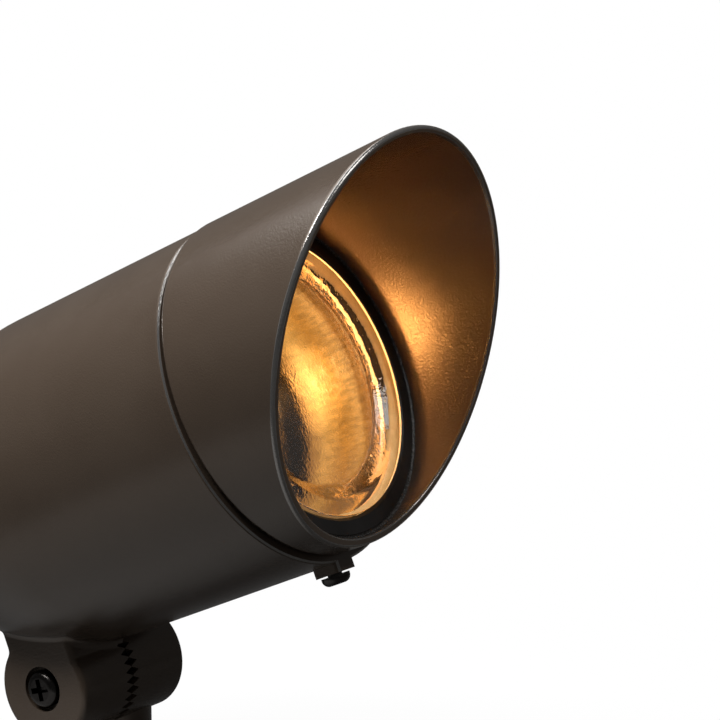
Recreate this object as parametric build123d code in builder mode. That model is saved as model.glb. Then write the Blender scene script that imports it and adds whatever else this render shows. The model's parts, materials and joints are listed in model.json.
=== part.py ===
from build123d import *
import os
from math import cos, radians, sin, sqrt

# Outdoor accent spotlight. The origin is on the stem's axis at the shoulder where its thread begins,
# +Z is up, the light shines towards +X, and the knuckle turns about Y with its clamp screw on the -Y side.
# Sizes are millimetres and degrees.

# Aim of the head, as photographed
head_elevation = 23.3
hood_turn = 7.0

# Reflector lamp, the piece that the head is built round
lamp_radius = 47.4
lamp_length = 117.0
lamp_rim = 5.5
lamp_glass = 2.0
lamp_face_step = 36.0
lamp_face_rise = 1.6
lamp_bowl_depth = 58.0
lamp_shoulder = 41.7
lamp_neck_radius = 17.0
lamp_base_radius = 13.0
lamp_base_length = 20.0
lamp_base_wall = 0.6
lamp_tip_length = 5.5
lamp_contact_radius = 4.8
lamp_contact_length = 1.5
capsule_radius = 6.5
capsule_length = 36.0
capsule_plug = 5.0

# Hood and what it holds
hood_top_length = 79.5
hood_bottom_length = 10.7
hood_wall = 2.5
hood_step = 0.9
hood_lift = 1.5
hood_back_round = 2.0
hood_lip_round = 1.3
hood_lip_inside = 0.5
hood_ledge = 2.7
spigot_length = 17.0
spigot_wall = 2.75
lens_thickness = 4.0
lens_bevel = 0.5
lens_boss_rise = 2.4
lens_dish_radius = 40.5
lens_dish_slope = 5.0
lens_dish_depth = 3.3
lens_dish_round = 1.0
gasket_thickness = 1.2
gasket_width = 8.7
ring_thickness = 2.0
ring_width = 5.5
bead_width = 1.6
seal_width = 2.0
seal_depth = 1.0
seal_setback = 0.9

# Housing
body_wall = 3.2
rear_wall = 4.0
rear_round = 11.0
tail_length = 68.0
tail_round = 100.0
rim_bevel = 0.8
lug_length = 10.4
lug_width = 9.6
lug_height = 2.8
lug_round = 1.5
clamp_setback = 5.6
boss_wall = 2.6

# Lampholder and its strap
socket_wall = 6.0
socket_grip = 27.0
socket_floor = 10.0
shell_wall = 0.8
contact_leaf = 0.8
strap_thickness = 1.5
strap_width = 16.0
strap_standoff = 12.5
strap_foot = 11.0
socket_screw_spread = 9.0

# Knuckle and stem
knuckle_radius = 18.5
knuckle_drop = 7.0
knuckle_from_rear = 36.4
clamp_floor = 5.2
upper_face_round = 2.0
neck_blend = 2.5
neck_front = 17.6
neck_rear = 10.5
neck_corner = 3.0
base_edge_round = 1.2
relief_gap = 0.8
pad_rise = 0.6
tooth_count = 36
tooth_depth = 3.2
tooth_ring = 5.3
crest_share = 0.12
crest_gap = 0.3
wireway_radius = 5.0
grommet_flange = 2.0
grommet_wall = 1.6
grommet_sleeve = 5.0
pivot_height = 34.0
thread_radius = 10.45
thread_length = 16.0
thread_bevel = 1.2
collar_step = 1.05
collar_margin = 2.25
stem_wall = 3.95

# Screws: shank radius, head radius, head height
knuckle_screw_radius = 3.0
knuckle_head_radius = 6.3
knuckle_head_height = 4.2
knuckle_head_round = 2.3
recess_length = 7.4
recess_width = 1.9
recess_depth = 2.5
recess_taper = 12.0
recess_turn = 15.0
knuckle_screw_grip = 18.0
knuckle_washer = 1.3
counterbore_depth = 4.0
counterbore_gap = 1.4
clamp_screw_radius = 2.4
clamp_head_radius = 4.7
clamp_head_height = 3.0
clamp_head_round = 2.4
clamp_slot_turn = 35.0
clamp_head_stand = 0.5
small_screw_radius = 1.8
small_head_radius = 3.2
small_head_height = 2.0
small_screw_grip = 6.0

# Clearances
slide_gap = 0.05
rim_gap = 0.4
seat_gap = 0.3
lamp_clearance = 0.6
lamp_front_gap = 2.4

# Sizes that follow from the ones above, from the lamp outwards
spigot_inner = lamp_radius + hood_lift + lamp_clearance
spigot_radius = spigot_inner + spigot_wall
bore_radius = spigot_radius + hood_lift + slide_gap
body_radius = bore_radius + body_wall
hood_radius = body_radius - hood_step
hood_inner = hood_radius - hood_wall
gasket_front = hood_ledge + gasket_thickness
lens_front = gasket_front + lens_thickness
lens_boss_front = lens_front + lens_boss_rise
dish_floor = lens_boss_front - lens_dish_depth
lens_radius = hood_inner - seat_gap
ring_outer = hood_inner - bead_width
ring_inner = ring_outer - ring_width
lens_boss_radius = ring_inner - seat_gap
ring_front = lens_front + ring_thickness

# Places along the head's axis, measured forwards from the housing's front rim
lamp_front = gasket_front - lamp_front_gap
lamp_seam = lamp_front - lamp_rim
lamp_throat = lamp_seam - lamp_bowl_depth
contact_end = lamp_front - lamp_length
tip_front = contact_end + lamp_contact_length + lamp_tip_length
base_front = tip_front + lamp_base_length
socket_floor_at = contact_end - contact_leaf
socket_mouth = socket_floor_at + socket_grip
socket_back = socket_floor_at - socket_floor
strap_back = socket_back - strap_thickness
foot_front = strap_back - strap_standoff
foot_back = foot_front - strap_thickness
small_screw_end = foot_back - small_screw_grip
rear_inside = small_screw_end - boss_wall
body_rear = rear_inside - rear_wall
tail_start = body_rear + tail_length
tail_centre = body_radius - tail_round
rear_radius = tail_centre + sqrt(tail_round**2 - tail_length**2)
tail_inside = tail_round - body_wall
rear_inner = tail_centre + sqrt(tail_inside**2 - (tail_length - rear_wall) ** 2)

# Knuckle sizes
pivot_setback = -body_rear - knuckle_from_rear
pivot_drop = body_radius + knuckle_drop
collar_radius = thread_radius + collar_step
base_width = 2 * (collar_radius + collar_margin)
parting_y = -base_width / 2
wireway_side = body_wall + wireway_radius + grommet_flange + seat_gap
wireway_depth = wireway_side + wireway_radius + seat_gap
upper_width = wireway_depth + clamp_floor + counterbore_depth
relief_radius = knuckle_radius + relief_gap
relief_depth = base_width + relief_gap
roof_radius = relief_radius + body_wall
pad_top = roof_radius + pad_rise
channel_radius = knuckle_radius - tooth_ring
post_radius = knuckle_screw_radius + boss_wall
stem_bore = thread_radius - stem_wall
tooth_pitch = 360 / tooth_count

# Directions and planes of the tilted head
head_dir = Vector(cos(radians(head_elevation)), 0, sin(radians(head_elevation)))
head_up = Vector(-sin(radians(head_elevation)), 0, cos(radians(head_elevation)))
near_dir = Vector(0, -1, 0)
pivot = Vector(0, parting_y, pivot_height)
rim_centre = pivot + head_dir * pivot_setback + head_up * pivot_drop
hood_centre = rim_centre + head_up * hood_lift
turned_up = head_up * cos(radians(hood_turn)) - near_dir * sin(radians(hood_turn))

# On head_side, X runs forwards along the axis from the rim and Y is the distance above the axis
head_side = Plane(origin=rim_centre, x_dir=head_dir, z_dir=near_dir)
head_axis = Axis(rim_centre, head_dir)
hood_side = Plane(origin=hood_centre, x_dir=head_dir, z_dir=near_dir)
hood_axis = Axis(hood_centre, head_dir)
hood_cut = Plane(origin=hood_centre, x_dir=head_dir, z_dir=head_dir.cross(turned_up))
# On knuckle_face, X is forwards and Y is up; on knuckle_tilted they follow the head
knuckle_face = Plane(origin=pivot, x_dir=(1, 0, 0), z_dir=near_dir)
knuckle_tilted = Plane(origin=pivot, x_dir=head_dir, z_dir=near_dir)


def across(along):
    """Plane square to the head's axis, looking forwards, with Y up."""
    return Plane(origin=rim_centre + head_dir * along, x_dir=-near_dir, z_dir=head_dir)


def beneath(along, depth):
    """Plane that looks down from the head's axis, depth below it, with X forwards."""
    return Plane(origin=rim_centre + head_dir * along - head_up * depth, x_dir=head_dir, z_dir=-head_up)


def write(piece, name):
    piece.part.label = name
    export_step(piece.part, f"parts/{name}.step")


os.makedirs("parts", exist_ok=True)

# One groove between two knuckle teeth, tapering towards the pivot; its valley points away from the parting
groove_half = radians(tooth_pitch) / 2 * (1 - crest_share)
groove_outer = knuckle_radius + relief_gap / 2
groove_inner = channel_radius - crest_gap


def groove_plane(radius):
    return Plane(origin=(radius, 0, 0), x_dir=(0, 1, 0), z_dir=(1, 0, 0))


with BuildPart() as tooth_groove:
    for radius in (groove_inner, groove_outer):
        half = radius * groove_half
        valley = tooth_depth * radius / knuckle_radius
        skim = crest_gap * half / valley
        with BuildSketch(groove_plane(radius)):
            with BuildLine():
                Polyline((-half - skim, -crest_gap), (half + skim, -crest_gap), (0, valley), close=True)
            make_face()
    loft(ruled=True)

# Knuckle base: cast drum with a toothed face, a hollow for the leads, and the threaded stem below it
with BuildPart() as knuckle_base:
    with BuildSketch(knuckle_face.offset(-crest_gap / 2)):
        Circle(knuckle_radius)
    extrude(amount=-(base_width - crest_gap / 2))
    fillet(knuckle_base.edges().sort_by(Axis.Y)[-1], base_edge_round)
    with BuildSketch(Plane.XY):
        Circle(collar_radius)
    extrude(amount=pivot_height)
    with BuildSketch(Plane.XY):
        Circle(thread_radius)
    extrude(amount=-thread_length)
    chamfer(knuckle_base.edges().sort_by(Axis.Z)[0], thread_bevel)
    with BuildSketch(knuckle_face):
        Circle(channel_radius)
        Circle(post_radius, mode=Mode.SUBTRACT)
    extrude(amount=-(base_width - boss_wall - base_edge_round), mode=Mode.SUBTRACT)
    with BuildSketch(Plane.XY.offset(-thread_length)):
        Circle(stem_bore)
    extrude(amount=thread_length + pivot_height - post_radius, mode=Mode.SUBTRACT)
    with BuildSketch(knuckle_face):
        Circle(knuckle_screw_radius + slide_gap)
    extrude(amount=-(knuckle_screw_grip + boss_wall), mode=Mode.SUBTRACT)
    base_teeth = Plane(origin=pivot - near_dir * crest_gap / 2, x_dir=(1, 0, 0), z_dir=-near_dir)
    with Locations(base_teeth):
        with PolarLocations(0, tooth_count):
            add(tooth_groove.part, mode=Mode.SUBTRACT)
write(knuckle_base, "knuckle_base")

# Knuckle clamp screw: pan head with a cross recess, and its split lock washer
head_seat = upper_width - counterbore_depth + knuckle_washer
with BuildPart() as knuckle_screw:
    with BuildSketch(knuckle_face.offset(head_seat)):
        Circle(knuckle_head_radius)
    extrude(amount=knuckle_head_height)
    fillet(knuckle_screw.edges().sort_by(Axis.Y)[0], knuckle_head_round)
    with BuildSketch(knuckle_face.offset(head_seat)):
        Circle(knuckle_screw_radius)
    extrude(amount=-(head_seat + knuckle_screw_grip))
    with BuildSketch(knuckle_face.offset(head_seat + knuckle_head_height)):
        Rectangle(recess_length, recess_width, rotation=recess_turn)
        Rectangle(recess_width, recess_length, rotation=recess_turn)
    extrude(amount=-recess_depth, taper=recess_taper, mode=Mode.SUBTRACT)
write(knuckle_screw, "knuckle_screw")

with BuildPart() as knuckle_lock_washer:
    with BuildSketch(knuckle_face.offset(head_seat)):
        Circle(knuckle_head_radius - counterbore_gap / 2)
        Circle(knuckle_screw_radius + seat_gap, mode=Mode.SUBTRACT)
        with Locations((knuckle_head_radius, 0)):
            Rectangle(2 * knuckle_head_radius, knuckle_washer, mode=Mode.SUBTRACT)
    extrude(amount=-knuckle_washer)
write(knuckle_lock_washer, "knuckle_lock_washer")

# Outside of the housing's barrel, kept to trim what is built up inside and below it
with BuildPart() as barrel:
    with BuildSketch(head_side):
        with BuildLine():
            Polyline((0, 0), (0, body_radius), (tail_start, body_radius))
            RadiusArc((tail_start, body_radius), (body_rear, rear_radius), -tail_round)
            Polyline((body_rear, rear_radius), (body_rear, 0), (0, 0))
        make_face()
    revolve(axis=head_axis)
    fillet(barrel.edges().sort_by(head_axis)[0], rear_round)
    chamfer(barrel.edges().sort_by(head_axis)[-1], rim_bevel)

# Roof inside the barrel over the knuckle, between the lampholder's space and the hollow that the base turns in
with BuildPart() as knuckle_roof:
    with BuildSketch(knuckle_face.offset(wireway_depth + body_wall)):
        Circle(roof_radius)
    extrude(amount=-(wireway_depth + relief_depth + 2 * body_wall))
    add(barrel.part, mode=Mode.INTERSECT)

# The barrel beyond the knuckle's parting, where the base needs the space below it
parting_face = knuckle_face.offset(crest_gap / 2)
with BuildPart() as far_barrel:
    add(barrel.part)
    split(bisect_by=parting_face, keep=Keep.BOTTOM)

# Housing: cast cup with the upper knuckle half and the clamp lug cast on
lug_end = body_radius + lug_height
boss_radius = small_screw_radius + boss_wall
boss_back = rear_inside - rear_wall / 2
leg_side = lamp_base_radius + socket_wall
strap_seat = leg_side + strap_foot / 2
rear_screws = [(-strap_seat, 0), (strap_seat, 0), (0, strap_seat)]
wireway_up = Plane(origin=pivot + near_dir * wireway_side, x_dir=head_dir, z_dir=head_up)
with BuildPart() as housing:
    add(barrel.part)
    with BuildSketch(knuckle_tilted.offset(upper_width)) as knuckle_outline:
        Circle(knuckle_radius)
        with Locations(((neck_front - neck_rear) / 2, knuckle_radius)):
            Rectangle(neck_front + neck_rear, 2 * knuckle_radius)
        fillet(knuckle_outline.vertices().sort_by(Axis.Y)[:2], neck_corner)
    extrude(amount=-2 * upper_width)
    ends = housing.faces().filter_by(Axis.Y).sort_by(Axis.Y)
    tail_edges = housing.faces().filter_by(GeomType.REVOLUTION).sort_by(SortBy.AREA)[-1].edges()
    fillet([edge for edge in ends[0].edges() + ends[-1].edges() if edge not in tail_edges], upper_face_round)
    tail_edges = housing.faces().filter_by(GeomType.REVOLUTION).sort_by(SortBy.AREA)[-1].edges()
    foot_edges = tail_edges.filter_by(lambda edge: not edge.is_closed)
    fillet(foot_edges.filter_by(lambda edge: (edge.center() - pivot).length < 2 * knuckle_radius), neck_blend)
    split(bisect_by=parting_face, keep=Keep.TOP)
    add(far_barrel.part)
    # Clamp lug under the front rim
    with BuildSketch(beneath(-lug_length / 2, lug_end)):
        RectangleRounded(lug_length, lug_width, lug_round)
    extrude(amount=-(lug_height + body_wall / 2))
    # Hollow of the cup
    with BuildSketch(head_side):
        with BuildLine():
            Polyline((rim_bevel, 0), (rim_bevel, bore_radius), (tail_start, bore_radius))
            RadiusArc((tail_start, bore_radius), (rear_inside, rear_inner), -tail_inside)
            Polyline((rear_inside, rear_inner), (rear_inside, 0), (rim_bevel, 0))
        make_face()
    revolve(axis=head_axis, mode=Mode.SUBTRACT)
    # Relief for the knuckle base, walled off from the hollow
    add(knuckle_roof.part)
    with BuildSketch(knuckle_face.offset(crest_gap / 2)):
        Circle(relief_radius)
    extrude(amount=-(relief_depth + crest_gap / 2), mode=Mode.SUBTRACT)
    # Pad and passage for the leads, and the hollow of the upper knuckle half
    with BuildSketch(wireway_up.offset(relief_radius)):
        Circle(wireway_radius + grommet_flange)
    extrude(amount=pad_top - relief_radius)
    with BuildSketch(knuckle_face):
        Circle(channel_radius)
        Circle(post_radius, mode=Mode.SUBTRACT)
    extrude(amount=wireway_depth, mode=Mode.SUBTRACT)
    with BuildSketch(wireway_up.offset((post_radius + channel_radius) / 2)):
        Circle(wireway_radius)
    extrude(amount=pad_top, mode=Mode.SUBTRACT)
    # Clamp screw's passage and counterbore
    with BuildSketch(knuckle_face):
        Circle(knuckle_screw_radius + seat_gap)
    extrude(amount=upper_width, mode=Mode.SUBTRACT)
    with BuildSketch(knuckle_face.offset(upper_width)):
        Circle(knuckle_head_radius + counterbore_gap)
    extrude(amount=-counterbore_depth, mode=Mode.SUBTRACT)
    # Teeth, in line with the base's
    with Locations(Plane(origin=pivot + near_dir * crest_gap / 2, x_dir=(1, 0, 0), z_dir=near_dir)):
        with PolarLocations(0, tooth_count):
            add(tooth_groove.part, mode=Mode.SUBTRACT)
    # Tapped hole in the lug
    with BuildSketch(beneath(-clamp_setback, lug_end)):
        Circle(clamp_screw_radius + slide_gap)
    extrude(amount=-2 * (lug_height + body_wall), mode=Mode.SUBTRACT)
    # Bosses on the rear wall for the lampholder's strap and the ground screw
    with BuildSketch(across(boss_back)):
        with Locations(*rear_screws):
            Circle(boss_radius)
    extrude(amount=foot_back - boss_back)
    with BuildSketch(across(foot_back)):
        with Locations(*rear_screws):
            Circle(small_screw_radius + slide_gap)
    extrude(amount=small_screw_end - foot_back - slide_gap, mode=Mode.SUBTRACT)
write(housing, "housing")

# Hood: cast shroud cut off at a slant, with the lens ledge inside and a spigot that enters the housing
seal_front = -seal_setback
seal_back = seal_front - seal_width
groove_radius = spigot_radius - seal_depth
hood_reach = hood_top_length + hood_wall
cut_slope = (hood_top_length - hood_bottom_length) / (2 * hood_radius)
cut_middle = (hood_top_length + hood_bottom_length) / 2
cut_rise = 2 * hood_radius
with BuildPart() as hood:
    with BuildSketch(hood_side):
        with BuildLine():
            Polyline(
                (-spigot_length, spigot_inner),
                (-spigot_length, spigot_radius),
                (seal_back, spigot_radius),
                (seal_back, groove_radius),
                (seal_front, groove_radius),
                (seal_front, spigot_radius),
                (rim_gap, spigot_radius),
                (rim_gap, hood_radius),
                (hood_reach, hood_radius),
                (hood_reach, hood_inner),
                (hood_ledge, hood_inner),
                (hood_ledge, spigot_inner),
                close=True,
            )
        make_face()
    revolve(axis=hood_axis)
    back_edges = hood.edges().filter_by(GeomType.CIRCLE).group_by(SortBy.RADIUS)[-1]
    fillet(back_edges.sort_by(hood_axis)[0], hood_back_round)
    with BuildSketch(hood_cut):
        with BuildLine():
            Polyline(
                (cut_middle - cut_slope * cut_rise, -cut_rise),
                (cut_middle + cut_slope * cut_rise, cut_rise),
                (cut_middle + cut_slope * cut_rise + hood_reach, cut_rise),
                (cut_middle + cut_slope * cut_rise + hood_reach, -cut_rise),
                close=True,
            )
        make_face()
    extrude(amount=2 * hood_radius, both=True, mode=Mode.SUBTRACT)
    lip_edges = hood.edges().filter_by(GeomType.ELLIPSE).sort_by(SortBy.LENGTH)
    fillet(lip_edges[-1], hood_lip_round)
    fillet(hood.edges().filter_by(GeomType.ELLIPSE).sort_by(SortBy.LENGTH)[-1], hood_lip_inside)
write(hood, "hood")

# Clear pressed glass with a dished middle, on a gasket, held by a ring that a bead of sealant bonds to the hood's wall
with BuildPart() as lens_gasket:
    with BuildSketch(hood_side):
        with BuildLine():
            Polyline(
                (hood_ledge, lens_radius - gasket_width),
                (hood_ledge, lens_radius),
                (gasket_front, lens_radius),
                (gasket_front, lens_radius - gasket_width),
                close=True,
            )
        make_face()
    revolve(axis=hood_axis)
write(lens_gasket, "lens_gasket")

with BuildPart() as lens:
    with BuildSketch(hood_side):
        with BuildLine():
            Polyline(
                (gasket_front, 0),
                (gasket_front, lens_radius - lens_bevel),
                (gasket_front + lens_bevel, lens_radius),
                (lens_front - lens_bevel, lens_radius),
                (lens_front, lens_radius - lens_bevel),
                (lens_front, lens_boss_radius),
                (lens_boss_front - lens_bevel, lens_boss_radius),
                (lens_boss_front, lens_boss_radius - lens_bevel),
                (lens_boss_front, lens_dish_radius),
                (dish_floor, lens_dish_radius - lens_dish_slope),
                (dish_floor, 0),
                close=True,
            )
        make_face()
    revolve(axis=hood_axis)
    dish_edges = lens.edges().filter_by(GeomType.CIRCLE).group_by(SortBy.RADIUS)[:2]
    fillet(dish_edges[0] + dish_edges[1], lens_dish_round)
write(lens, "lens")

with BuildPart() as lens_retaining_ring:
    with BuildSketch(hood_side):
        with BuildLine():
            Polyline(
                (lens_front, ring_inner),
                (lens_front, ring_outer),
                (ring_front, ring_outer),
                (ring_front, ring_inner + ring_thickness / 2),
                (ring_front - ring_thickness / 2, ring_inner),
                close=True,
            )
        make_face()
    revolve(axis=hood_axis)
write(lens_retaining_ring, "lens_retaining_ring")

bead_hollow = bead_width / 3
with BuildPart() as lens_sealant:
    with BuildSketch(hood_side):
        with BuildLine():
            Polyline(
                (ring_front, ring_outer),
                (lens_front, ring_outer),
                (lens_front, hood_inner),
                (ring_front, hood_inner),
            )
            ThreePointArc(
                (ring_front, hood_inner),
                (ring_front - bead_hollow, hood_inner - bead_width / 2),
                (ring_front, ring_outer),
            )
        make_face()
    revolve(axis=hood_axis)
write(lens_sealant, "lens_sealant")

# Soft seal: squeezed thin above, where the clamp screw lifts the hood against the bore, and thick below
with BuildPart() as hood_seal:
    with BuildSketch(across(seal_front - slide_gap)):
        Circle(bore_radius - slide_gap)
        with Locations((0, hood_lift)):
            Circle(groove_radius + slide_gap, mode=Mode.SUBTRACT)
    extrude(amount=-(seal_width - 2 * slide_gap))
write(hood_seal, "hood_seal")

# Hood clamp screw: slotted pan head under the lug, with its tip against the spigot
clamp_tip = spigot_radius - hood_lift + slide_gap
clamp_head = lug_end + clamp_head_stand
slot_width = clamp_head_radius / 4
with BuildPart() as hood_clamp_screw:
    with BuildSketch(beneath(-clamp_setback, clamp_tip)):
        Circle(clamp_screw_radius)
    extrude(amount=clamp_head - clamp_tip)
    with BuildSketch(beneath(-clamp_setback, clamp_head)):
        Circle(clamp_head_radius)
    extrude(amount=clamp_head_height)
    head_edges = hood_clamp_screw.edges().filter_by(GeomType.CIRCLE).sort_by(Axis(rim_centre, -head_up))
    fillet(head_edges[-1], clamp_head_round)
    with BuildSketch(beneath(-clamp_setback, clamp_head + clamp_head_height)):
        Rectangle(slot_width, 3 * clamp_head_radius, rotation=clamp_slot_turn)
    extrude(amount=-clamp_head_height / 2, mode=Mode.SUBTRACT)
write(hood_clamp_screw, "hood_clamp_screw")

# Reflector lamp: pressed face with a raised middle, silvered bowl, burner, and screw base
face_rise = lamp_front + lamp_face_rise
face_ramp = 2 * lamp_face_rise
rim_edge = lamp_radius - lamp_rim / 2
with BuildPart() as lamp_front_glass:
    with BuildSketch(head_side):
        with BuildLine():
            Polyline(
                (lamp_seam, lamp_radius - lamp_glass),
                (lamp_seam, lamp_radius),
                (lamp_front - lamp_rim / 2, lamp_radius),
            )
            RadiusArc((lamp_front - lamp_rim / 2, lamp_radius), (lamp_front, rim_edge), -lamp_rim / 2)
            Polyline(
                (lamp_front, rim_edge),
                (lamp_front, lamp_face_step + face_ramp / 2),
                (face_rise, lamp_face_step - face_ramp / 2),
                (face_rise, 0),
                (face_rise - lamp_glass, 0),
                (face_rise - lamp_glass, lamp_face_step - face_ramp),
                (lamp_front - lamp_glass, lamp_face_step),
                (lamp_front - lamp_glass, lamp_radius - lamp_glass - lamp_rim / 2),
                (lamp_seam, lamp_radius - lamp_glass),
            )
        make_face()
    revolve(axis=head_axis)
write(lamp_front_glass, "lamp_front_glass")

neck_length = lamp_throat - base_front
neck_taper = (lamp_neck_radius - lamp_base_radius) / neck_length
bowl_bend = lamp_throat + lamp_bowl_depth / 4
with BuildPart() as lamp_reflector:
    with BuildSketch(head_side):
        with BuildLine():
            Bezier((lamp_seam, lamp_radius), (bowl_bend, lamp_shoulder), (lamp_throat, lamp_neck_radius))
            Polyline(
                (lamp_throat, lamp_neck_radius),
                (base_front, lamp_base_radius),
                (base_front, lamp_base_radius - lamp_glass),
                (lamp_throat, lamp_neck_radius - lamp_glass),
            )
            Bezier(
                (lamp_throat, lamp_neck_radius - lamp_glass),
                (bowl_bend + lamp_glass, lamp_shoulder - lamp_glass),
                (lamp_seam, lamp_radius - lamp_glass),
            )
            Line((lamp_seam, lamp_radius - lamp_glass), (lamp_seam, lamp_radius))
        make_face()
    revolve(axis=head_axis)
write(lamp_reflector, "lamp_reflector")

plug_radius = lamp_neck_radius - lamp_glass - slide_gap
with BuildPart() as lamp_capsule_mount:
    with BuildSketch(head_side):
        with BuildLine():
            Polyline(
                (lamp_throat, 0),
                (lamp_throat, plug_radius),
                (lamp_throat - capsule_plug, plug_radius - neck_taper * capsule_plug),
                (lamp_throat - capsule_plug, 0),
                close=True,
            )
        make_face()
    revolve(axis=head_axis)
write(lamp_capsule_mount, "lamp_capsule_mount")

capsule_end = lamp_throat + capsule_length
with BuildPart() as lamp_capsule:
    with BuildSketch(head_side):
        with BuildLine():
            Polyline((capsule_end, 0), (lamp_throat, 0), (lamp_throat, capsule_radius))
            Line((lamp_throat, capsule_radius), (capsule_end - capsule_radius, capsule_radius))
            RadiusArc((capsule_end - capsule_radius, capsule_radius), (capsule_end, 0), capsule_radius)
        make_face()
    revolve(axis=head_axis)
write(lamp_capsule, "lamp_capsule")

with BuildPart() as lamp_base_shell:
    with BuildSketch(across(tip_front)):
        Circle(lamp_base_radius)
        Circle(lamp_base_radius - lamp_base_wall, mode=Mode.SUBTRACT)
    extrude(amount=lamp_base_length)
write(lamp_base_shell, "lamp_base_shell")

with BuildPart() as lamp_base_insulator:
    with BuildSketch(across(tip_front)):
        Circle(lamp_base_radius)
    with BuildSketch(across(tip_front - lamp_tip_length)):
        Circle(lamp_contact_radius + lamp_base_wall)
    loft()
write(lamp_base_insulator, "lamp_base_insulator")

with BuildPart() as lamp_base_contact:
    with BuildSketch(across(contact_end)):
        Circle(lamp_contact_radius)
    extrude(amount=lamp_contact_length)
    fillet(lamp_base_contact.edges().sort_by(head_axis)[0], lamp_contact_length / 2)
write(lamp_base_contact, "lamp_base_contact")

# Lampholder: porcelain body, screw shell and centre contact
shell_inner = lamp_base_radius + seat_gap
shell_outer = shell_inner + shell_wall
socket_bore = shell_outer + slide_gap
socket_radius = socket_bore + socket_wall
with BuildPart() as socket_body:
    with BuildSketch(across(socket_back)):
        Circle(socket_radius)
    extrude(amount=socket_mouth - socket_back)
    fillet(socket_body.edges().sort_by(head_axis)[-1], socket_wall / 3)
    with BuildSketch(across(socket_floor_at)):
        Circle(socket_bore)
    extrude(amount=socket_grip, mode=Mode.SUBTRACT)
    with BuildSketch(across(socket_back)):
        with Locations((-socket_screw_spread, 0), (socket_screw_spread, 0)):
            Circle(small_screw_radius + slide_gap)
    extrude(amount=small_screw_grip + slide_gap, mode=Mode.SUBTRACT)
write(socket_body, "socket_body")

with BuildPart() as socket_shell:
    with BuildSketch(across(socket_floor_at)):
        Circle(shell_outer)
        Circle(shell_inner, mode=Mode.SUBTRACT)
    extrude(amount=socket_grip - shell_wall)
write(socket_shell, "socket_shell")

with BuildPart() as socket_contact:
    with BuildSketch(across(socket_floor_at)):
        SlotOverall(2 * shell_inner - 4 * shell_wall, 2 * lamp_contact_radius)
    extrude(amount=contact_leaf)
write(socket_contact, "socket_contact")

# Strap that carries the lampholder off the rear wall, with its two pairs of screws and the ground screw
head_plan = Plane(origin=rim_centre - head_up * strap_width / 2, x_dir=head_dir, z_dir=head_up)
foot_side = leg_side + strap_foot
leg_inside = leg_side - strap_thickness
with BuildPart() as socket_bracket:
    with BuildSketch(head_plan):
        with BuildLine():
            Polyline(
                (socket_back, -leg_side),
                (socket_back, leg_side),
                (foot_front, leg_side),
                (foot_front, foot_side),
                (foot_back, foot_side),
                (foot_back, leg_inside),
                (strap_back, leg_inside),
                (strap_back, -leg_inside),
                (foot_back, -leg_inside),
                (foot_back, -foot_side),
                (foot_front, -foot_side),
                (foot_front, -leg_side),
                close=True,
            )
        make_face()
    extrude(amount=strap_width)
    with BuildSketch(across(foot_back)):
        with Locations((-strap_seat, 0), (strap_seat, 0)):
            Circle(small_screw_radius + slide_gap)
        with Locations((-socket_screw_spread, 0), (socket_screw_spread, 0)):
            Circle(small_screw_radius + slide_gap)
    extrude(amount=socket_back - foot_back, mode=Mode.SUBTRACT)
write(socket_bracket, "socket_bracket")

with BuildPart() as socket_screws:
    with BuildSketch(across(strap_back - small_head_height)):
        with Locations((-socket_screw_spread, 0), (socket_screw_spread, 0)):
            Circle(small_head_radius)
    extrude(amount=small_head_height)
    with BuildSketch(across(strap_back)):
        with Locations((-socket_screw_spread, 0), (socket_screw_spread, 0)):
            Circle(small_screw_radius)
    extrude(amount=strap_thickness + small_screw_grip)
write(socket_screws, "socket_screws")

with BuildPart() as bracket_screws:
    with BuildSketch(across(foot_front)):
        with Locations((-strap_seat, 0), (strap_seat, 0)):
            Circle(small_head_radius)
    extrude(amount=small_head_height)
    with BuildSketch(across(small_screw_end)):
        with Locations((-strap_seat, 0), (strap_seat, 0)):
            Circle(small_screw_radius)
    extrude(amount=foot_front - small_screw_end)
write(bracket_screws, "bracket_screws")

with BuildPart() as ground_screw:
    with BuildSketch(across(foot_back)):
        with Locations((0, strap_seat)):
            RegularPolygon(small_head_radius, 6)
    extrude(amount=small_head_height)
    with BuildSketch(across(small_screw_end)):
        with Locations((0, strap_seat)):
            Circle(small_screw_radius)
    extrude(amount=foot_back - small_screw_end)
write(ground_screw, "ground_screw")

# Bush that saves the leads from the passage's edge
grommet_radius = wireway_radius - slide_gap
with BuildPart() as wire_grommet:
    with BuildSketch(wireway_up.offset(pad_top)):
        Circle(wireway_radius + grommet_flange)
    extrude(amount=grommet_flange)
    with BuildSketch(wireway_up.offset(pad_top)):
        Circle(grommet_radius)
    extrude(amount=-grommet_sleeve)
    with BuildSketch(wireway_up.offset(pad_top + grommet_flange)):
        Circle(grommet_radius - grommet_wall)
    extrude(amount=-(grommet_sleeve + grommet_flange), mode=Mode.SUBTRACT)
    fillet(wire_grommet.edges().sort_by(Axis(pivot, head_up))[-2:], grommet_flange / 3)
write(wire_grommet, "wire_grommet")
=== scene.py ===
import json
from math import atan2, cos, pi, radians, sin

import bmesh
import bpy
from mathutils import Matrix, Vector


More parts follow.
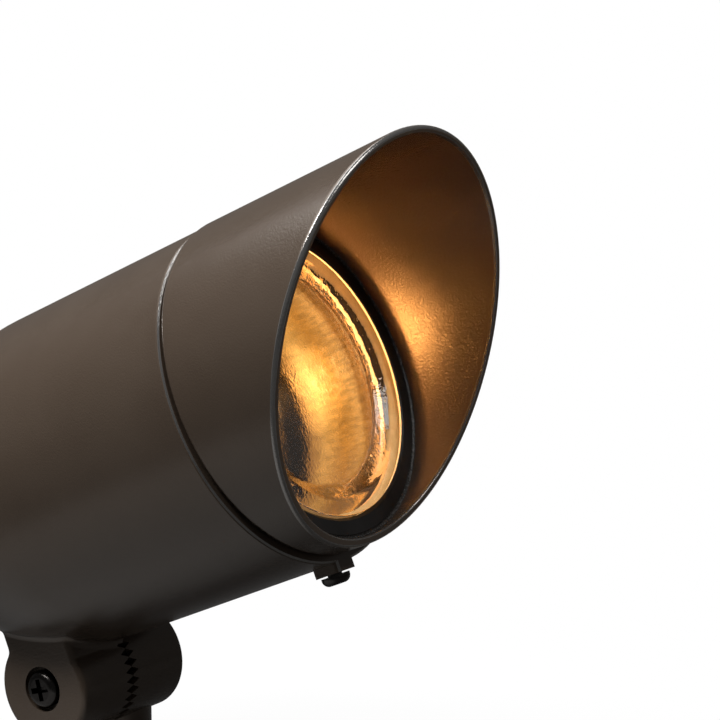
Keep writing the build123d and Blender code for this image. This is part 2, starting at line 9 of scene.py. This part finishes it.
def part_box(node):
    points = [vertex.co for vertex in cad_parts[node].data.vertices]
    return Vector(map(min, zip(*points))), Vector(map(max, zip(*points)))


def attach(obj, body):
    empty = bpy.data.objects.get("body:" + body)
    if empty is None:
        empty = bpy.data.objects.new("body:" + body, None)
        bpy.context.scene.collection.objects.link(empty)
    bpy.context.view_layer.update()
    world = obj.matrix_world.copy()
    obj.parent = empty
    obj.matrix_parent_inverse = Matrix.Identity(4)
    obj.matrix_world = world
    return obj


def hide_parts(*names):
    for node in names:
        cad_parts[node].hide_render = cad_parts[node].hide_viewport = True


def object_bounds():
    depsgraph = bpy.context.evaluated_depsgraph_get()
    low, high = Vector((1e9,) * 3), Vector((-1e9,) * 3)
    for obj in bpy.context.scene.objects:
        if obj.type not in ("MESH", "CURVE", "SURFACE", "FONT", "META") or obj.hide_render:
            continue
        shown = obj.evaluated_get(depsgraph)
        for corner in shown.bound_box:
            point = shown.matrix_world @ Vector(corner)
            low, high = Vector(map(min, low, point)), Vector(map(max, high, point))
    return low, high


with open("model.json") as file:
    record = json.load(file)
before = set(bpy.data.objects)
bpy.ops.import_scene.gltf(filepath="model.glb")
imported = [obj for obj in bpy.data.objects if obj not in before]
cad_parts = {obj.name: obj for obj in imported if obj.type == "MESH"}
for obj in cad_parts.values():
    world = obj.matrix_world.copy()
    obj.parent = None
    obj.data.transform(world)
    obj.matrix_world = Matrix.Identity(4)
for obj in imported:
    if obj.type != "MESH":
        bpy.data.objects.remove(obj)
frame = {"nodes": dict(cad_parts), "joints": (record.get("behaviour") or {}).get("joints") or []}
cad_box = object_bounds()
scene = bpy.context.scene
scene.view_settings.view_transform = "Standard"

# Camera
# It stands in front of the light, a little above the lens and towards the knuckle screw's side.
# A long lens keeps the barrel's sides nearly parallel, as in a catalogue picture.
camera_at = (0.45585, -0.53114, 0.23559)
camera_look = Vector((-0.549367, 0.824601, -0.135015))
camera_lens, camera_sensor = 102.05, 36.0


def stand(name, data, place, look):
    """Stands a camera or a light at place, turned to look that way."""
    stood = bpy.data.objects.new(name, data)
    stood.location = place
    stood.rotation_mode = "QUATERNION"
    stood.rotation_quaternion = look.to_track_quat("-Z", "Y")
    scene.collection.objects.link(stood)
    return stood


camera_data = bpy.data.cameras.new("camera")
camera_data.lens = camera_lens
camera_data.sensor_width = camera_sensor
scene.camera = stand("camera", camera_data, camera_at, camera_look)

# Studio
# A sweep that shows white to the eye but throws little light up at the belly, and a white card on it that
# the barrel's underside mirrors. A wide soft box hangs overhead, two small ones draw bright lines on the
# edges, and one in front glints in the lens.
soft_boxes = [("top_box", (-0.30, -0.15, 1.00), 0.9, 10.5), ("key_box", (0.00, -0.72, 1.12), 0.22, 6.0),
              ("edge_box", (-0.32, -0.79, 1.08), 0.24, 4.0), ("front_box", (0.77, -0.05, 1.00), 0.42, 4.2)]
part_middle = (cad_box[0] + cad_box[1]) / 2
for box_name, box_at, box_size, box_power in soft_boxes:
    box_light = bpy.data.lights.new(box_name, "AREA")
    box_light.size = box_size
    box_light.energy = box_power
    stand(box_name, box_light, box_at, part_middle - Vector(box_at))


def reckon(tree, operation, *values):
    """One step of arithmetic on numbers or sockets."""
    step = tree.nodes.new("ShaderNodeMath")
    step.operation = operation
    for socket, value in zip(step.inputs, values):
        if isinstance(value, float):
            socket.default_value = value
        else:
            tree.links.new(value, socket)
    return step.outputs[0]


def seen_rays(tree, in_gloss):
    """1 for rays straight from the eye or through glass alone, in_gloss for rays off a shiny surface."""
    path = tree.nodes.new("ShaderNodeLightPath").outputs
    unmirrored = reckon(tree, "LESS_THAN", path["Glossy Depth"], 0.5)
    through = reckon(tree, "MULTIPLY", path["Is Transmission Ray"], unmirrored)
    straight = reckon(tree, "MAXIMUM", path["Is Camera Ray"], through)
    mirrored = reckon(tree, "MULTIPLY", path["Is Glossy Ray"], in_gloss)
    return reckon(tree, "MAXIMUM", straight, mirrored)


def show_mixed(tree, share, first, second, output):
    """Shows the first shader and, by the share, the second."""
    mixed = tree.nodes.new("ShaderNodeMixShader")
    for source, socket in zip((share, first.outputs[0], second.outputs[0]), mixed.inputs):
        tree.links.new(source, socket)
    tree.links.new(mixed.outputs[0], tree.nodes[output].inputs["Surface"])


sky_light, sky_in_gloss = 0.08, 0.02
sky = bpy.data.worlds.new("sky")
sky.use_nodes = True
sky_dim = sky.node_tree.nodes["Background"]
sky_white = sky.node_tree.nodes.new("ShaderNodeBackground")
for sky_layer, sky_strength in ((sky_dim, sky_light), (sky_white, 1.0)):
    sky_layer.inputs["Color"].default_value = (1, 1, 1, 1)
    sky_layer.inputs["Strength"].default_value = sky_strength
show_mixed(sky.node_tree, seen_rays(sky.node_tree, sky_in_gloss), sky_dim, sky_white, "World Output")
scene.world = sky


def blank_finish(name):
    """A new material, its node tree, its shader, and the place that its patterns read."""
    finish = bpy.data.materials.new(name)
    finish.use_nodes = True
    tree = finish.node_tree
    place = tree.nodes.new("ShaderNodeTexCoord").outputs["Object"]
    return finish, tree, tree.nodes["Principled BSDF"], place


def measure(tree, operation, place, other=(0, 0, 0)):
    """One step of vector arithmetic: a vector for a difference or a cross product, else a number."""
    step = tree.nodes.new("ShaderNodeVectorMath")
    step.operation = operation
    step.inputs[1].default_value = other
    tree.links.new(place, step.inputs[0])
    return step.outputs["Vector" if operation in ("SUBTRACT", "CROSS_PRODUCT") else "Value"]


def spread(tree, pattern, low, high, start=0.3, stop=0.7):
    """A number that goes from low to high as the pattern goes from start to stop."""
    span = tree.nodes.new("ShaderNodeMapRange")
    for limit, value in (("From Min", start), ("From Max", stop), ("To Min", low), ("To Max", high)):
        span.inputs[limit].default_value = value
    tree.links.new(pattern, span.inputs["Value"])
    return span.outputs["Result"]


def vary(tree, pattern, socket, *span):
    """Drives a number socket over that span of low, high, start and stop."""
    tree.links.new(spread(tree, pattern, *span), socket)


def make_object(name, form, finish):
    """Turns the modelled form into an object with that finish."""
    mesh = bpy.data.meshes.new(name)
    form.to_mesh(mesh)
    form.free()
    mesh.materials.append(finish)
    made = bpy.data.objects.new(name, mesh)
    scene.collection.objects.link(made)
    return made


floor_size = 40.0
floor_flagged, floor_pale = 0.06, 0.86
floor_near, floor_far, floor_near_white = 0.08, 0.32, 0.90
floor_in_gloss, card_in_gloss = 0.02, 0.26
card_at = (0.02, -0.15, 0.0)
card_solid, card_end = 0.10, 0.17
floor_finish, floor_tree, floor_matt, floor_place = blank_finish("floor")
floor_matt.inputs["Roughness"].default_value = 0.9
floor_matt.inputs["Specular IOR Level"].default_value = 0.0
card_reach = measure(floor_tree, "DISTANCE", floor_place, card_at)
card_mirrored = spread(floor_tree, card_reach, card_in_gloss, floor_in_gloss, card_solid, card_end)
floor_seen = seen_rays(floor_tree, card_mirrored)
vary(floor_tree, floor_seen, floor_matt.inputs["Base Color"], floor_flagged, floor_pale, 0.0, 1.0)
floor_reach = measure(floor_tree, "LENGTH", floor_place)
floor_whiteness = spread(floor_tree, floor_reach, floor_near_white, 1.0, floor_near, floor_far)
floor_white = floor_tree.nodes.new("ShaderNodeEmission")
show_mixed(floor_tree, reckon(floor_tree, "MULTIPLY", floor_seen, floor_whiteness), floor_matt, floor_white,
           "Material Output")
floor_form = bmesh.new()
bmesh.ops.create_grid(floor_form, x_segments=1, y_segments=1, size=floor_size / 2)
bmesh.ops.translate(floor_form, verts=floor_form.verts, vec=(0, 0, cad_box[0].z))
floor = make_object("floor", floor_form, floor_finish)

# Knuckle base
# The lower half of the knuckle and its hollow stem: one aluminium casting, toothed by a coining die
# and powder coated bronze. The stem screws into a half-inch hub and carries everything above it.
# The last coat tone is the light metal colour of the painted highlight, which only the edges reach.
edge_highlight_tone = (0.22, 0.21, 0.20)
coat_tones = [(0.35, (0.070, 0.050, 0.036)), (0.84, (0.082, 0.060, 0.044)), (1.0, edge_highlight_tone)]
coat_sheen = (1.0, 0.88, 0.78)
coat_drift, coat_cloud = 0.03, 0.004
coat_peel, coat_peel_height = 0.0006, 0.00006
black, white = (0, 0, 0), (1, 1, 1)


def speckle(tree, place, size, detail=2.0):
    """Cloudy noise with spots of about that size in metres."""
    noise = tree.nodes.new("ShaderNodeTexNoise")
    noise.inputs["Scale"].default_value = 1 / size
    noise.inputs["Detail"].default_value = detail
    tree.links.new(place, noise.inputs["Vector"])
    return noise.outputs["Fac"]


def shade(tree, pattern, stops):
    """A colour that goes through stops of (place, colour) with the pattern."""
    ramp = tree.nodes.new("ShaderNodeValToRGB")
    for end, (spot, colour) in zip(ramp.color_ramp.elements, (stops[0], stops[-1])):
        end.position = spot
        end.color = (*colour, 1)
    for spot, colour in stops[1:-1]:
        ramp.color_ramp.elements.new(spot).color = (*colour, 1)
    tree.links.new(pattern, ramp.inputs["Fac"])
    return ramp.outputs["Color"]


def tint(tree, pattern, socket, stops):
    """Drives a colour socket through those stops."""
    tree.links.new(shade(tree, pattern, stops), socket)


def raise_grain(tree, shader, pattern, height):
    """Bumps the surface by up to height metres, over any earlier bumps, and gives the bump's share back."""
    bump = tree.nodes.new("ShaderNodeBump")
    bump.inputs["Distance"].default_value = height
    tree.links.new(pattern, bump.inputs["Height"])
    if shader.inputs["Normal"].is_linked:
        tree.links.new(shader.inputs["Normal"].links[0].from_socket, bump.inputs["Normal"])
    tree.links.new(bump.outputs["Normal"], shader.inputs["Normal"])
    return bump.inputs["Strength"]


def along_edge(tree, place, edge_at, edge_square, width):
    """White over that width behind an edge, which lies in the plane through edge_at square to edge_square."""
    depth = measure(tree, "DOT_PRODUCT", measure(tree, "SUBTRACT", place, edge_at), -edge_square / width)
    return shade(tree, depth, [(0.01, black), (0.06, white), (0.75, white), (1.0, black)])


def powder_coat(name, *edge):
    """Satin bronze coat: fine orange peel, a slow drift of tone, and a painted highlight along an edge."""
    finish, tree, shader, place = blank_finish(name)
    tone, rough = speckle(tree, place, coat_drift), speckle(tree, place, coat_cloud)
    if edge:
        # Painted highlight: behind the edge the coat turns lighter, metallic and smoother, so that it draws a
        # bright line.
        edge_highlight = along_edge(tree, place, *edge)
        vary(tree, edge_highlight, shader.inputs["Metallic"], 0.0, 0.75, 0.3, 1.0)
        tone = reckon(tree, "MULTIPLY_ADD", edge_highlight, 0.8, tone)
        rough = reckon(tree, "MULTIPLY_ADD", edge_highlight, -1.2, rough)
    tint(tree, tone, shader.inputs["Base Color"], coat_tones)
    vary(tree, rough, shader.inputs["Roughness"], 0.13, 0.27, -0.9, 0.7)
    shader.inputs["Specular Tint"].default_value = (*coat_sheen, 1)
    raise_grain(tree, shader, speckle(tree, place, coat_peel), coat_peel_height)
    return finish, tree, shader, place


def dress(node, finish):
    """Gives a CAD node its finish."""
    mesh = frame["nodes"][node].data
    mesh.materials.clear()
    mesh.materials.append(finish)


base_coat = powder_coat("bronze_coat")[0]
dress("knuckle_base", base_coat)

# Stem thread
# The hub's parallel pipe thread, rolled on the stem after coating, so its crests are bright.
# One ridge wound round the stem, fourteen turns to the inch.
thread_pitch = 0.00181
thread_root, thread_crest = 0.01025, 0.01075
thread_crest_start, thread_crest_end = 0.42, 0.58
thread_foot_gap = 0.0016
thread_low, thread_high = cad_box[0].z + thread_foot_gap, -0.0026
thread_turn_steps = 48


def place_piece(name, form, body, finish, slot, *nodes):
    """Makes the finished form a smooth piece that moves with the body and stands for the nodes."""
    bmesh.ops.remove_doubles(form, verts=form.verts, dist=1e-7)
    bmesh.ops.recalc_face_normals(form, faces=form.faces)
    piece = make_object(name, form, finish)
    piece.data.shade_smooth()
    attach(piece, body)
    if nodes:
        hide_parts(*nodes)
    return piece


thread_form = bmesh.new()
thread_outline = [(thread_root, 0.0), (thread_crest, thread_crest_start), (thread_crest, thread_crest_end),
                  (thread_root, 1.0)]
thread_ring = [thread_form.verts.new((out, 0, thread_low + share * thread_pitch))
               for out, share in thread_outline]
thread_start = thread_form.faces.new(thread_ring)
thread_turns = (thread_high - thread_low) / thread_pitch - 1
thread_steps = round(thread_turns * thread_turn_steps)
bmesh.ops.spin(thread_form, geom=[thread_start], cent=(0, 0, 0), axis=(0, 0, 1),
               dvec=(0, 0, thread_pitch / thread_turn_steps),
               angle=2 * pi * thread_steps / thread_turn_steps, steps=thread_steps)
thread_coat, thread_tree, thread_shader, thread_place = blank_finish("thread_coat")
thread_wear = speckle(thread_tree, thread_place, 0.003)
tint(thread_tree, thread_wear, thread_shader.inputs["Base Color"],
     [(0.4, (0.10, 0.078, 0.062)), (0.7, (0.30, 0.28, 0.26))])
vary(thread_tree, speckle(thread_tree, thread_place, 0.002), thread_shader.inputs["Roughness"], 0.3, 0.5)
vary(thread_tree, thread_wear, thread_shader.inputs["Metallic"], 0.0, 0.9, 0.45, 0.65)
place_piece("stem_thread_ridge", thread_form, "base", thread_coat, "bronze_coat")

# Housing
# The cup that holds lamp and lampholder, cast with the upper knuckle half and the clamp lug on it,
# machined at the bore, the rim and the teeth, and coated like the base.
hood_turn = next(joint for joint in frame["joints"] if joint["name"] == "hood_turn")
forward = Vector(hood_turn["axis"])
sideways = Vector((0, 1, 0))
upward = forward.cross(sideways)
# The rim's edge carries a painted highlight strip this wide.
rim_highlight_width = 0.0006
rim_reach = max(forward.dot(corner.co) for corner in frame["nodes"]["housing"].data.vertices)
housing_coat = powder_coat("housing_coat", forward * rim_reach, forward, rim_highlight_width)[0]
dress("housing", housing_coat)

# Wire grommet
# Moulded rubber bush with a flange, pushed from inside the cup into the wireway down to the knuckle.
# The leads pass through it and stay clear of the casting's edge.


def soft_black(name, tone, rough, grain):
    """Black rubber or sealant, dusty in the hollows of its grain."""
    finish, tree, shader, place = blank_finish(name)
    tint(tree, speckle(tree, place, 0.0025), shader.inputs["Base Color"],
         [(0.3, tuple(0.7 * part for part in tone)), (0.7, tuple(1.3 * part for part in tone))])
    vary(tree, speckle(tree, place, 0.001), shader.inputs["Roughness"], rough - 0.08, rough + 0.08)
    raise_grain(tree, shader, speckle(tree, place, 0.0006, 3.0), grain)
    return finish


rubber = soft_black("grommet_rubber", (0.022, 0.021, 0.020), 0.62, 0.00004)
dress("wire_grommet", rubber)

# Knuckle screw
# Pan-head clamp screw with a cross recess and its split washer, steel, blackened and oiled. It draws the
# two toothed faces together, so that the head stays where it is aimed.


def bare_metal(name, tone, rough, lay=0.002):
    """Plated or blackened metal: uneven tone, and fine marks left by forming and handling."""
    finish, tree, shader, place = blank_finish(name)
    shader.inputs["Metallic"].default_value = 1.0
    tint(tree, speckle(tree, place, lay), shader.inputs["Base Color"],
         [(0.3, tuple(0.8 * part for part in tone)), (0.7, tone)])
    vary(tree, speckle(tree, place, lay / 4), shader.inputs["Roughness"], rough - 0.07, rough + 0.07)
    raise_grain(tree, shader, speckle(tree, place, lay / 5), 0.00001)
    return finish


blackened = bare_metal("blackened_steel", (0.040, 0.037, 0.035), 0.22)
dress("knuckle_screw", blackened)
dress("knuckle_lock_washer", blackened)

# Lampholder
# A body of glazed porcelain, pressed and fired in one piece, because it has to stand the lamp's heat.
# A screw shell and a sprung centre contact, both of nickel-plated brass, are pressed into it.
porcelain, glaze_tree, glaze, glaze_place = blank_finish("glazed_porcelain")
tint(glaze_tree, speckle(glaze_tree, glaze_place, 0.006, 4.0), glaze.inputs["Base Color"],
     [(0.3, (0.74, 0.71, 0.65)), (0.7, (0.80, 0.78, 0.73))])
vary(glaze_tree, speckle(glaze_tree, glaze_place, 0.003), glaze.inputs["Roughness"], 0.10, 0.24)
raise_grain(glaze_tree, glaze, speckle(glaze_tree, glaze_place, 0.004), 0.00005)
dress("socket_body", porcelain)
plated_brass = bare_metal("plated_brass", (0.72, 0.66, 0.52), 0.28)
dress("socket_shell", plated_brass)
dress("socket_contact", plated_brass)

# Lampholder strap
# Zinc-plated steel strap across the cup, with two screws into the porcelain, two into the cup's bosses,
# and a green ground screw.
zinc = bare_metal("zinc_plate", (0.60, 0.61, 0.62), 0.36, 0.004)
dress("socket_bracket", zinc)
dress("socket_screws", zinc)
dress("bracket_screws", zinc)
dress("ground_screw", bare_metal("green_dyed_steel", (0.06, 0.30, 0.11), 0.34))

# Lamp base
# The lamp's nickel-plated screw shell, crimped on the neck and turned into the lampholder. A bead of black
# glass holds the centre eyelet, which is closed with solder.
dress("lamp_base_shell", plated_brass)
dress("lamp_base_contact", bare_metal("eyelet_solder", (0.55, 0.55, 0.54), 0.42))
black_glass, bead_tree, bead, bead_place = blank_finish("black_glass")
tint(bead_tree, speckle(bead_tree, bead_place, 0.003), bead.inputs["Base Color"],
     [(0.3, (0.006, 0.006, 0.007)), (0.7, (0.014, 0.013, 0.013))])
vary(bead_tree, speckle(bead_tree, bead_place, 0.002), bead.inputs["Roughness"], 0.06, 0.16)
dress("lamp_base_insulator", black_glass)

# Lamp bowl and burner
# Pressed glass bowl, silvered inside, with a quartz burner on a ceramic plug in its neck. The lamp is
# lit. The bowl's amber glow is painted light: emission on the silvering that stands in for the burner's
# light mirrored in its faceted wall, with a painted hot spot, painted ripple streaks and a band of
# painted shade, dark in both the silvering and the glow.
head_tilt = atan2(forward.z, forward.x)
eyelet_low, eyelet_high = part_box("lamp_base_contact")
eyelet = (eyelet_low + eyelet_high) / 2
seam_reach = max(forward.dot(corner.co) for corner in frame["nodes"]["lamp_reflector"].data.vertices)
lamp_seam = eyelet + forward * (seam_reach - forward.dot(eyelet))
bowl_depth = 0.058
# shadow_tone and shadow_glow make the band of painted shade in the silvering and in its glow.
silver_tone, shadow_tone, shadow_glow = (0.55, 0.46, 0.32), (0.02, 0.015, 0.01), (0.006, 0.003, 0.001)
bowl_silver_and_shade = [(0.30, silver_tone), (0.42, shadow_tone), (0.54, shadow_tone), (0.64, silver_tone)]
bowl_painted_glow = [(0.00, (0.22, 0.075, 0.012)), (0.05, (0.46, 0.175, 0.032)), (0.09, (0.75, 0.34, 0.08)),
             (0.20, (0.66, 0.25, 0.036)), (0.32, (0.85, 0.40, 0.09)), (0.40, (0.40, 0.16, 0.035)),
             (0.43, shadow_glow), (0.54, shadow_glow), (0.66, (0.50, 0.20, 0.04)), (1.00, (0.75, 0.36, 0.09))]
# Painted reflection of the burner: ripple streaks and a hot spot that brighten the bowl's glow.
streak_width, streak_stretch = 0.0010, 6.0
painted_hot_spot = lamp_seam - forward * 0.0210 + upward * 0.0020 + sideways * 0.0415
hot_glare, hot_core, hot_edge = 3.3, 0.003, 0.017
far_dimness, far_start, far_end = 0.3, 0.028, 0.050


def from_lamp(tree, place, stretch=1.0):
    """Place counted from the lamp's seam, its first number along the lamp's axis and drawn out by stretch."""
    turn = tree.nodes.new("ShaderNodeMapping")
    turn.vector_type = "TEXTURE"
    turn.inputs["Location"].default_value = lamp_seam
    turn.inputs["Rotation"].default_value = (0, -head_tilt, 0)
    turn.inputs["Scale"].default_value = (stretch, 1, 1)
    tree.links.new(place, turn.inputs["Vector"])
    return turn.outputs["Vector"]


silvered, silver_tree, silver, silver_place = blank_finish("silvered_bowl")
silver.inputs["Metallic"].default_value = 1.0
# The bowl's painted glow and painted shade follow the depth down the bowl.
down_bowl = measure(silver_tree, "DOT_PRODUCT", from_lamp(silver_tree, silver_place), (-1 / bowl_depth, 0, 0))
tint(silver_tree, down_bowl, silver.inputs["Base Color"], bowl_silver_and_shade)
tint(silver_tree, down_bowl, silver.inputs["Emission Color"], bowl_painted_glow)
from_hot = measure(silver_tree, "DISTANCE", silver_place, painted_hot_spot)
painted_streaks = speckle(silver_tree, from_lamp(silver_tree, silver_place, streak_stretch), streak_width)
glare = reckon(silver_tree, "MULTIPLY", spread(silver_tree, from_hot, hot_glare, 1.0, hot_core, hot_edge),
               spread(silver_tree, from_hot, 1.0, far_dimness, far_start, far_end))
glow = reckon(silver_tree, "MULTIPLY", spread(silver_tree, painted_streaks, 0.68, 1.32), glare)
silver_tree.links.new(glow, silver.inputs["Emission Strength"])
vary(silver_tree, speckle(silver_tree, silver_place, 0.003), silver.inputs["Roughness"], 0.08, 0.22)
raise_grain(silver_tree, silver, speckle(silver_tree, silver_place, 0.0035), 0.0002)
dress("lamp_reflector", silvered)

quartz, quartz_tree, quartz_shader, quartz_place = blank_finish("lit_quartz")
quartz_shader.inputs["Roughness"].default_value = 0.15
tint(quartz_tree, speckle(quartz_tree, quartz_place, 0.004), quartz_shader.inputs["Emission Color"],
     [(0.35, (1.0, 0.62, 0.24)), (0.65, (1.0, 0.74, 0.38))])
quartz_shader.inputs["Emission Strength"].default_value = 1.8
dress("lamp_capsule", quartz)
burner_ceramic, plug_tree, plug, plug_place = blank_finish("burner_ceramic")
tint(plug_tree, speckle(plug_tree, plug_place, 0.002, 4.0), plug.inputs["Base Color"],
     [(0.3, (0.50, 0.44, 0.36)), (0.7, (0.62, 0.57, 0.48))])
vary(plug_tree, speckle(plug_tree, plug_place, 0.001), plug.inputs["Roughness"], 0.55, 0.75)
raise_grain(plug_tree, plug, speckle(plug_tree, plug_place, 0.0008), 0.00005)
dress("lamp_capsule_mount", burner_ceramic)

burner_amber = (1.0, 0.44, 0.12)
burner_light_depth = 0.016
burner_light_cone = 2.3
ring_beam_slant, spill_slant, spill_share = 0.615, 0.68, 0.22
plug_shade, plug_shade_low, plug_shade_high = 0.35, -0.40, 0.05
burner_glow = bpy.data.lights.new("burner_glow", "SPOT")
burner_glow.color = burner_amber
burner_glow.energy = 0.37
burner_glow.shadow_soft_size = 0.008
burner_glow.cycles.use_multiple_importance_sampling = False
burner_glow.spot_size = burner_light_cone
burner_glow.spot_blend = 0.1
burner_glow.use_nodes = True
glow_tree = burner_glow.node_tree
glow_way = glow_tree.nodes.new("ShaderNodeTexCoord").outputs["Normal"]
glow_slant = measure(glow_tree, "DOT_PRODUCT", glow_way, (0, 0, -1))
glow_rise = measure(glow_tree, "DOT_PRODUCT", glow_way, (0, 1, 0))
ring_beam = spread(glow_tree, glow_slant, 1.0, spill_share, ring_beam_slant, spill_slant)
past_plug = spread(glow_tree, glow_rise, plug_shade, 1.0, plug_shade_low, plug_shade_high)
glow_tree.links.new(reckon(glow_tree, "MULTIPLY", ring_beam, past_plug),
                    glow_tree.nodes["Emission"].inputs["Strength"])
burner_glow_at = stand("burner_glow", burner_glow, lamp_seam - forward * burner_light_depth, forward)
burner_glow_at.visible_camera = False
burner_glow_at.visible_transmission = False
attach(burner_glow_at, "head")

# Lamp face
# Pressed glass face of the lamp, slightly domed, and stippled to even out the beam. It is fused to the
# bowl at the seam.
millimetre = 0.001
face_outline = [(5.1, 0.0, 0), (4.9, 20.0, 20), (3.6, 43.0, 1), (0.0, 45.4, 0), (0.0, 47.4, 0),
                (5.0, 47.4, 2), (5.5, 44.4, 1), (6.8, 20.0, 20), (7.1, 0.0, 0)]
turn_steps = 160
round_steps = 5


def turned(outline, centre):
    """A form turned about the head's forward line through centre, from (along, out, round) corners in mm."""
    form = bmesh.new()
    corners = [form.verts.new((along * millimetre, 0, out * millimetre)) for along, out, blend in outline]
    for pair in zip(corners, corners[1:]):
        form.edges.new(pair)
    for corner, (along, out, blend) in zip(corners, outline):
        if blend:
            bmesh.ops.bevel(form, geom=[corner], offset=blend * millimetre, offset_type="OFFSET",
                            affect="VERTICES", segments=round_steps, profile=0.5, material=-1)
    bmesh.ops.spin(form, geom=form.verts[:] + form.edges[:], cent=(0, 0, 0), axis=(1, 0, 0), angle=2 * pi,
                   steps=turn_steps, use_merge=True)
    head_place = Matrix((forward, sideways, -upward)).transposed().to_4x4()
    bmesh.ops.transform(form, matrix=Matrix.Translation(centre) @ head_place, verts=form.verts)
    return form


def clear_glass(name, tone, rough):
    """Clear glass that also lets the lamp's own light through."""
    finish, tree, shader, place = blank_finish(name)
    shader.inputs["Base Color"].default_value = (*tone, 1)
    shader.inputs["Transmission Weight"].default_value = 1.0
    shader.inputs["IOR"].default_value = 1.48
    vary(tree, speckle(tree, place, 0.004), shader.inputs["Roughness"], 0.4 * rough, rough)
    through = tree.nodes.new("ShaderNodeBsdfTransparent")
    through.inputs["Color"].default_value = (*tone, 1)
    in_shadow = tree.nodes.new("ShaderNodeLightPath").outputs["Is Shadow Ray"]
    show_mixed(tree, in_shadow, shader, through, "Material Output")
    return finish, tree, shader, place


face_glass, face_tree, face_shader, face_place = clear_glass("stippled_face_glass", (0.98, 0.97, 0.94), 0.06)
raise_grain(face_tree, face_shader, speckle(face_tree, face_place, 0.0009), 0.00003)
place_piece("lamp_face", turned(face_outline, lamp_seam), "head", face_glass, "lamp_glass",
            "lamp_front_glass")

# Hood
# Cast aluminium shroud, cut off at a slant, its spigot entering the cup. It is coated inside and out,
# and inside the casting's own grain shows through the coat.
inner_grain, inner_grain_height = 0.0008, 0.00011
inner_wall, outer_wall = 0.0540, 0.0548
lip_slope = 0.613
lip_turn = radians(7.0)
# The lip's edge carries a painted highlight strip this wide.
lip_highlight_width = 0.0014
lip_up = upward * cos(lip_turn) + sideways * sin(lip_turn)
lip_square = (forward - lip_up * lip_slope).normalized()
lip_reach = max(lip_square.dot(corner.co) for corner in frame["nodes"]["hood"].data.vertices)
hood_coat, hood_tree, hood_shader, hood_place = powder_coat("hood_coat", lip_square * lip_reach, lip_square,
                                                            lip_highlight_width)


def from_axis(tree, place):
    """Distance in metres from the line that the hood turns about."""
    away = measure(tree, "SUBTRACT", place, hood_turn["pos_m"])
    return measure(tree, "LENGTH", measure(tree, "CROSS_PRODUCT", away, forward))


inside = raise_grain(hood_tree, hood_shader, speckle(hood_tree, hood_place, inner_grain), inner_grain_height)
vary(hood_tree, from_axis(hood_tree, hood_place), inside, 1.0, 0.0, inner_wall, outer_wall)
dress("hood", hood_coat)

# Hood seal and lens gasket
# A soft ring in the joint between spigot and bore, and a flat silicone ring behind the glass, with a
# painted amber glow standing in for the lamp's light coming through it.
dress("hood_seal", rubber)
silicone, silicone_tree, silicone_shader, silicone_place = blank_finish("pale_silicone")
tint(silicone_tree, speckle(silicone_tree, silicone_place, 0.003), silicone_shader.inputs["Base Color"],
     [(0.3, (0.46, 0.29, 0.11)), (0.7, (0.56, 0.38, 0.17))])
vary(silicone_tree, speckle(silicone_tree, silicone_place, 0.001), silicone_shader.inputs["Roughness"],
     0.45, 0.6)
# Painted glow: amber emission for the lamp's light through the silicone.
silicone_shader.inputs["Emission Color"].default_value = (1.0, 0.42, 0.09, 1)
silicone_shader.inputs["Emission Strength"].default_value = 0.19
raise_grain(silicone_tree, silicone_shader, speckle(silicone_tree, silicone_place, 0.0008), 0.00003)
dress("lens_gasket", silicone)

# Lens
# Pressed and tempered glass with a dished middle, lying on the gasket by its rim. Its two ground
# sides carry a painted amber glow for the lamp's light caught in them.
lens_outline = [(3.95, 0.0, 0), (3.95, 53.2, 0.5), (7.85, 53.2, 0.5), (7.85, 46.2, 0), (10.3, 46.2, 0.5),
                (10.3, 40.5, 0.9), (7.0, 35.5, 0.9), (7.0, 0.0, 0)]
lens_middle = Vector(hood_turn["pos_m"])
dish_wall = [(0.0345, black), (0.0360, white), (0.0400, white), (0.0415, black)]
side_slant, side_reach = 0.3, 0.045
lens_glass, lens_tree, lens_shader, lens_place = clear_glass("lens_glass", (0.985, 0.99, 0.985), 0.012)
raise_grain(lens_tree, lens_shader, speckle(lens_tree, lens_place, 0.004), 0.00005)
rippled = raise_grain(lens_tree, lens_shader, speckle(lens_tree, lens_place, 0.0022), 0.00022)
tint(lens_tree, from_axis(lens_tree, lens_place), rippled, dish_wall)
lens_clear = place_piece("lens_clear", turned(lens_outline, lens_middle), "hood", lens_glass, "clear_glass",
                         "lens")
ground_side_glow, ground_tree, ground, ground_place = blank_finish("ground_edge_painted_glow")
tint(ground_tree, speckle(ground_tree, ground_place, 0.002), ground.inputs["Emission Color"],
     [(0.3, (0.50, 0.22, 0.05)), (0.7, (0.75, 0.38, 0.10))])
vary(ground_tree, speckle(ground_tree, ground_place, 0.0008), ground.inputs["Roughness"], 0.5, 0.7)
# Painted glow: amber emission on the ground sides.
ground.inputs["Emission Strength"].default_value = 0.33
lens_clear.data.materials.append(ground_side_glow)
for side in lens_clear.data.polygons:
    outward = (side.center - lens_middle).cross(forward).length
    if abs(side.normal.dot(forward)) < side_slant and outward > side_reach:
        side.material_index = 1

# Lens ring and bead
# A flat metal ring, coated black, presses the glass on its gasket. A bead of black sealant, laid round its
# edge by hand, locks it to the hood.
ring_coat, ring_tree, ring, ring_place = blank_finish("black_ring_coat")
tint(ring_tree, speckle(ring_tree, ring_place, 0.01), ring.inputs["Base Color"],
     [(0.35, (0.009, 0.008, 0.007)), (0.65, (0.014, 0.012, 0.011))])
vary(ring_tree, speckle(ring_tree, ring_place, 0.003), ring.inputs["Roughness"], 0.30, 0.42)
ring.inputs["Specular IOR Level"].default_value = 0.40
raise_grain(ring_tree, ring, speckle(ring_tree, ring_place, 0.0009), 0.00003)
dress("lens_retaining_ring", ring_coat)
dress("lens_sealant", soft_black("black_sealant", (0.03, 0.028, 0.026), 0.24, 0.0004))

# Hood clamp screw
# Slotted pan-head screw of blackened steel, turned into the housing's lug. Its tip pushes the hood up
# against the bore and so holds it at the turn that it was given.
dress("hood_clamp_screw", blackened)
